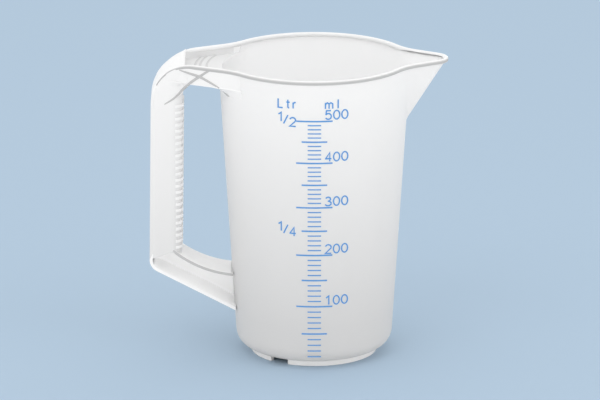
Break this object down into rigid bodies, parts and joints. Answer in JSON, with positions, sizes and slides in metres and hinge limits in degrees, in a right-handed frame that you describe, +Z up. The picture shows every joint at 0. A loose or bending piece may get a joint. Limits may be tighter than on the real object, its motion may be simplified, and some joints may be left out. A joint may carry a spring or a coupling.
{
  "type": "measuring jug",
  "caption": "Translucent tapered measuring jug with a pouring spout, a ribbed grip on a bridge and lower arm, and a printed blue volume scale.",
  "frame": {"origin": "on the cup axis, in the plane of the foot ring's underside", "axes": "+Z up along the cup axis, +X towards the spout, -X towards the handle, -Y towards the side with the scale"},
  "size_m": [0.1347, 0.0872, 0.137],
  "materials": {
    "clear_plastic": "frosted natural polypropylene, satin outside, glossy inside",
    "blue_ink": "screen-printed ink"
  },
  "bodies": {
    "root": {"side_wall": "clear_plastic", "base_corner": "clear_plastic", "floor_plate": "clear_plastic", "foot_ring": "clear_plastic", "rim_lip": "clear_plastic", "spout_front": "clear_plastic", "spout_rear": "clear_plastic", "bridge_side_front": "clear_plastic", "bridge_side_rear": "clear_plastic", "bridge_underside": "clear_plastic", "bridge_beads": "clear_plastic", "thumb_tray": "clear_plastic", "tray_ribs": "clear_plastic", "shoulder_cap": "clear_plastic", "grip_shell": "clear_plastic", "finger_ribs": "clear_plastic", "arm_upper_plate": "clear_plastic", "arm_lower_plate": "clear_plastic", "arm_web": "clear_plastic", "hundred_lines": "blue_ink", "fifty_lines": "blue_ink", "ten_ticks": "blue_ink", "volume_numerals": "blue_ink", "fraction_marks": "blue_ink", "unit_headings": "blue_ink"}
  },
  "joints": []
}
